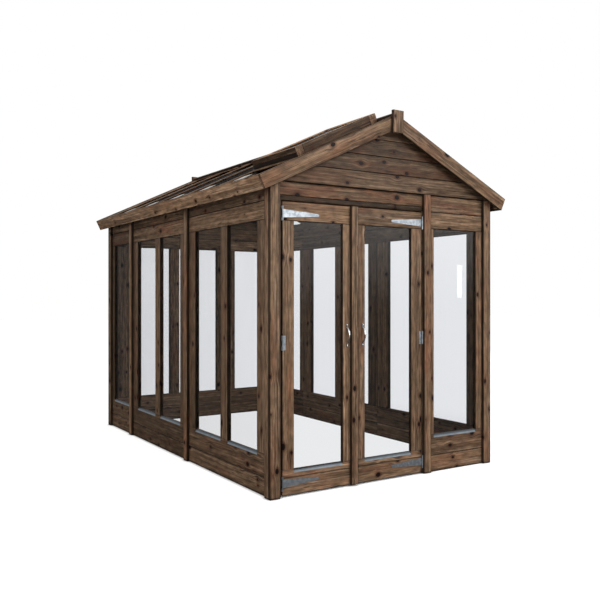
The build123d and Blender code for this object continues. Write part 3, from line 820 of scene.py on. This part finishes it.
def screws(name, places, material, body):
    """Copies of the screw at places in millimetres, joined into one piece."""
    copies = []
    for x, y, z in places:
        copy = bpy.data.objects.new(name, screw.data.copy())
        scene.collection.objects.link(copy)
        copy.data.transform(Matrix.Translation((x * MM, y * MM, z * MM)))
        copies.append(copy)
    only(copies)
    bpy.ops.object.join()
    item = bpy.context.object
    item.data.materials.clear()
    item.data.materials.append(material)
    bpy.ops.object.shade_smooth_by_angle(angle=radians(40))
    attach(item, body)
    print(name, len(copies), "screws")


for body, way in (("left_door", 1), ("right_door", -1)):
    side = body.split("_")[0]
    leaves = [(height, STRAP_SCREWS) for height in STRAP_HEIGHTS] + [(BUTT_HEIGHT, BUTT_SCREWS)]
    places = [(PIN[body] + way * along, FACE - STRAP_OUT, height + up)
              for height, holes in leaves for along, up in holes]
    screws(f"{side}_hinge_screws", places, galvanised, body)
    places = [(HANDLE[body], FACE - HANDLE_OUT, height) for height in HANDLE_HEIGHTS]
    screws(f"{side}_handle_screws", places, chrome, body)
bpy.data.objects.remove(screw)

# %% [markdown]
# ## Glazing beads
#
# Each pane lies in a rebate from inside, and a thin wooden bead holds it there. A bead frame is
# a cube whose two large faces are inset and bridged into a ring, with its inner edge rounded.

# %% A bead frame
BEAD_WIDTH, BEAD_DEPTH, BEAD_BACK = 9.5, 9, 16.5


def bead_frame(name, width, foot, head):
    """A bead round one opening that faces the front, with the panel's face at the origin."""
    wide, low, high = width + 2 * BEAD_WIDTH, foot - BEAD_WIDTH, head + BEAD_WIDTH
    bpy.ops.object.select_all(action="DESELECT")
    bpy.ops.mesh.primitive_cube_add(size=1, location=(0, (BEAD_BACK + BEAD_DEPTH / 2) * MM,
                                                      (low + high) / 2 * MM))
    item = bpy.context.object
    item.name = name
    item.scale = (wide * MM, BEAD_DEPTH * MM, (high - low) * MM)
    bpy.ops.object.transform_apply(location=True, rotation=True, scale=True)
    for face in item.data.polygons:
        face.select = abs(face.normal.y) > 0.9
    bpy.ops.object.mode_set(mode="EDIT")
    bpy.ops.mesh.select_mode(type="FACE")
    bpy.ops.mesh.inset(thickness=BEAD_WIDTH * MM)
    bpy.ops.mesh.bridge_edge_loops()
    bpy.ops.mesh.select_all(action="SELECT")
    bpy.ops.mesh.normals_make_consistent(inside=False)
    bpy.ops.object.mode_set(mode="OBJECT")
    parts = [item]
    for height in (foot, head):
        parts = [piece for part in parts for piece in saw(part, (0, 0, height * MM), (0, 0, 1))]
    only(parts, item)
    bpy.ops.object.join()
    return item


def bead_piece(name, model, places, body="building"):
    """Copies of a bead frame, each turned and moved to its window, joined into one piece."""
    copies = []
    for x, y, turn in places:
        copy = bpy.data.objects.new(name, model.data.copy())
        scene.collection.objects.link(copy)
        copy.data.transform(Matrix.Translation((x * MM, y * MM, 0)) @ Matrix.Rotation(turn, 4, "Z"))
        copies.append(copy)
    only(copies)
    if len(copies) > 1:
        bpy.ops.object.join()
    item = bpy.context.object
    ease(item, 1.2 * MM)
    lay_grain(item)
    item.data.materials.append(softwood)
    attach(item, body)
    print(name, len(places), "beads")


print("beads", BEAD_WIDTH, "by", BEAD_DEPTH, "mm")

# %% Beads in the windows and doors
WALL_FACE, WINDOW = 888.5, 397
SIDE_WINDOWS = (-1101, -604, 64, 561, 1165)
REAR_WINDOWS = (-518.5, -21.5, 582.5)
FRONT_WINDOW = 582.5
DOOR_PANES = (("left_door", 358, -553.5), ("right_door", 386, -9.5))

window_bead = bead_frame("window_bead", WINDOW, WINDOW_FOOT, WINDOW_HEAD)
bead_piece("left_wall_beads", window_bead, [(-WALL_FACE, y, -pi / 2) for y in SIDE_WINDOWS])
bead_piece("right_wall_beads", window_bead, [(WALL_FACE, y, pi / 2) for y in SIDE_WINDOWS])
bead_piece("front_window_bead", window_bead, [(FRONT_WINDOW, FACE, 0)])
bead_piece("rear_wall_beads", window_bead, [(x, -FACE, pi) for x in REAR_WINDOWS])
bpy.data.objects.remove(window_bead)
for body, width, middle in DOOR_PANES:
    bead = bead_frame("door_bead", width, PANE_FOOT, PANE_HEAD)
    bead_piece(f"{body}_bead", bead, [(middle, FACE, 0)], body)
    bpy.data.objects.remove(bead)

# %% [markdown]
# ## World
#
# The world is plain white to the camera and through glass. What glass and metal mirror is
# darker near the ground and brighter above, as in a studio with a pale ceiling, so the panes
# keep a little haze at their head. The wood is lit by a soft sky. Light that falls in through
# the panes is stronger than the sky, because sheets of glass in a row take much of it away.
# A node that tells kinds of ray apart lets one world be all of these.

# %% Kinds of ray
SKY_LEVEL, INDOOR_LEVEL = 0.38, 0.95


def kinds_of_ray(tree):
    """Three tests: seen directly or through glass, mirrored, and falling in through glass."""
    path = add(tree, "LightPath")
    camera, glass, mirror = [path.outputs[f"Is {kind} Ray"]
                             for kind in ("Camera", "Transmission", "Glossy")]
    straight = add(tree, "Math", {0: camera, 1: glass}, operation="MAXIMUM")
    bounces = add(tree, "Math", {0: path.outputs["Diffuse Depth"],
                                 1: path.outputs["Glossy Depth"]}, operation="ADD")
    none = add(tree, "Math", {0: bounces, 1: 0.5}, operation="LESS_THAN")
    clear = add(tree, "Math", {0: straight, 1: none}, operation="MULTIPLY")
    polished = add(tree, "Math", {0: path.outputs["Diffuse Depth"], 1: 0.5},
                   operation="LESS_THAN")
    either = add(tree, "Math", {0: glass, 1: mirror}, operation="MAXIMUM")
    mirrored = add(tree, "Math", {0: either, 1: polished}, operation="MULTIPLY")
    matt = add(tree, "Math", {0: 1.0, 1: polished}, operation="SUBTRACT")
    indoors = add(tree, "Math", {0: glass, 1: matt}, operation="MULTIPLY")
    return clear, mirrored, indoors


print("sky", SKY_LEVEL, "outdoors and", INDOOR_LEVEL, "indoors")

# %% World
MIRRORED_SKY = {1: 0.02, 2: 0.2, 3: 0.06, 4: 0.95}

world = bpy.data.worlds.new("studio")
scene.world = world
world.use_nodes = True
tree = world.node_tree
clear, mirrored, indoors = kinds_of_ray(tree)
way = add(tree, "SeparateXYZ", {0: add(tree, "TexCoord").outputs["Generated"]})
front = add(tree, "Math", {0: way.outputs[1], 1: -0.09, 2: way.outputs[2]},
            operation="MULTIPLY_ADD")
overhead = add(tree, "MapRange", {0: front, **MIRRORED_SKY}, interpolation_type=SMOOTH)
level = add(tree, "Mix", {0: indoors, 2: SKY_LEVEL, 3: INDOOR_LEVEL})
level = add(tree, "Mix", {0: mirrored, 2: level, 3: overhead})
level = add(tree, "Mix", {0: clear, 2: level, 3: 1.0})
background = tree.nodes["Background"]
background.inputs["Color"].default_value = (1, 1, 1, 1)
feed(tree, level, background.inputs["Strength"])
print("world", world.name)

# %% [markdown]
# ## Floor
#
# A sweep of white paper on which the walls stand. The camera sees it pure white but for a
# faint contact shadow, which ambient occlusion finds. Glass sees it white too, but painted a
# little darker within 2.6 m of the middle, a painted shade of the room over it. In the panes
# it is mirrored dim, and a little brighter before the doors than beside the walls.

# %% Floor
WHITE = (1, 1, 1, 1)
CONTACT_REACH = 0.04
CONTACT_SHADE = {1: 0.45, 2: 0.85, 3: 0.0, 4: 0.75}
SEEN_THROUGH_GLASS = {1: 1.6, 2: 2.6, 3: 0.92, 4: 1.0}
MIRRORED_FLOOR = {1: -1.4, 2: -2.0, 3: 0.05, 4: 0.1}

bpy.ops.object.select_all(action="DESELECT")
bpy.ops.mesh.primitive_plane_add(size=60, location=(0, 0, -1 * MM))
floor = bpy.context.object
floor.name = "studio_floor"
# A sweep of matt white paper: the camera sees it white, with a contact shadow
paper = bpy.data.materials.new("white paper")
paper.use_nodes = True
tree = paper.node_tree
tree.nodes.clear()
clear, mirrored, _ = kinds_of_ray(tree)
direct = add(tree, "LightPath").outputs["Is Camera Ray"]
matt = add(tree, "BsdfDiffuse", {"Color": colour("#e8e8e8")})
contact = add(tree, "AmbientOcclusion", {"Distance": CONTACT_REACH}, samples=8)
contact = add(tree, "MapRange", {0: contact.outputs["AO"], **CONTACT_SHADE})
glow = add(tree, "Emission", {"Color": WHITE, "Strength": contact})
lifted = add(tree, "AddShader", {0: matt, 1: glow})
place = add(tree, "TexCoord").outputs["Object"]
# Painted shade: seen through glass, the floor is darker near the middle, under the room
away = add(tree, "VectorMath", {0: place}, operation="LENGTH")
level = add(tree, "MapRange", {0: away.outputs["Value"], **SEEN_THROUGH_GLASS},
            interpolation_type=SMOOTH)
white = add(tree, "Emission", {"Color": WHITE, "Strength": level})
ahead = add(tree, "SeparateXYZ", {0: place})
ahead = add(tree, "MapRange", {0: ahead.outputs[1], **MIRRORED_FLOOR}, interpolation_type=SMOOTH)
dim = add(tree, "Emission", {"Color": WHITE, "Strength": ahead})
surface = add(tree, "MixShader", {0: mirrored, 1: matt, 2: dim})
surface = add(tree, "MixShader", {0: clear, 1: surface, 2: white})
surface = add(tree, "MixShader", {0: direct, 1: surface, 2: lifted})
add(tree, "OutputMaterial", {"Surface": surface})
floor.data.materials.append(paper)
print("floor", paper.name)

# %% [markdown]
# ## Card and lamps
#
# A narrow lit card, which only shows where it is mirrored, gives the front window its one
# bright streak. Three large square lamps light the wood, at a level at which a colour looks
# about as it is written. The one on the left stands low, so that its light reaches in under
# the eaves.

# %% Lit card
CARD_PLACE, CARD_TURN = (4.302, -5.144, 1.393), (pi / 2, 0, pi / 4)
CARD_SHAPE, CARD_GLOW = (0.065, 0.46, 1), 7.0

bpy.ops.mesh.primitive_plane_add(size=1, location=CARD_PLACE, rotation=CARD_TURN)
card = bpy.context.object
card.name = "studio_card"
card.scale = CARD_SHAPE
bpy.ops.object.transform_apply(location=False, rotation=False, scale=True)
lit = bpy.data.materials.new("lit card")
lit.use_nodes = True
tree = lit.node_tree
tree.nodes.clear()
glow = add(tree, "Emission", {"Color": WHITE, "Strength": CARD_GLOW})
add(tree, "OutputMaterial", {"Surface": glow})
card.data.materials.append(lit)
card.visible_camera = card.visible_diffuse = False
card.visible_transmission = card.visible_shadow = False
print("card", card.name)

# %% Lamps
LAMPS = {
    "key": ((2.5, -7.5, 4.5), (0, 0, 1.0), 4.0, 390),
    "fill": ((-7.5, -3.0, 2.1), (0, 0, 1.4), 3.6, 220),
    "rear": ((7.0, 6.0, 4.5), (0, 0, 1.0), 5.0, 130),
}

for name, (place, aim, size, power) in LAMPS.items():
    data = bpy.data.lights.new(name, "AREA")
    data.size, data.energy = size, power
    lamp = bpy.data.objects.new(name, data)
    scene.collection.objects.link(lamp)
    lamp.location = place
    lamp.rotation_euler = (Vector(aim) - Vector(place)).to_track_quat("-Z", "Y").to_euler()
    lamp.visible_camera = lamp.visible_transmission = False
scene.view_settings.view_transform = "Standard"
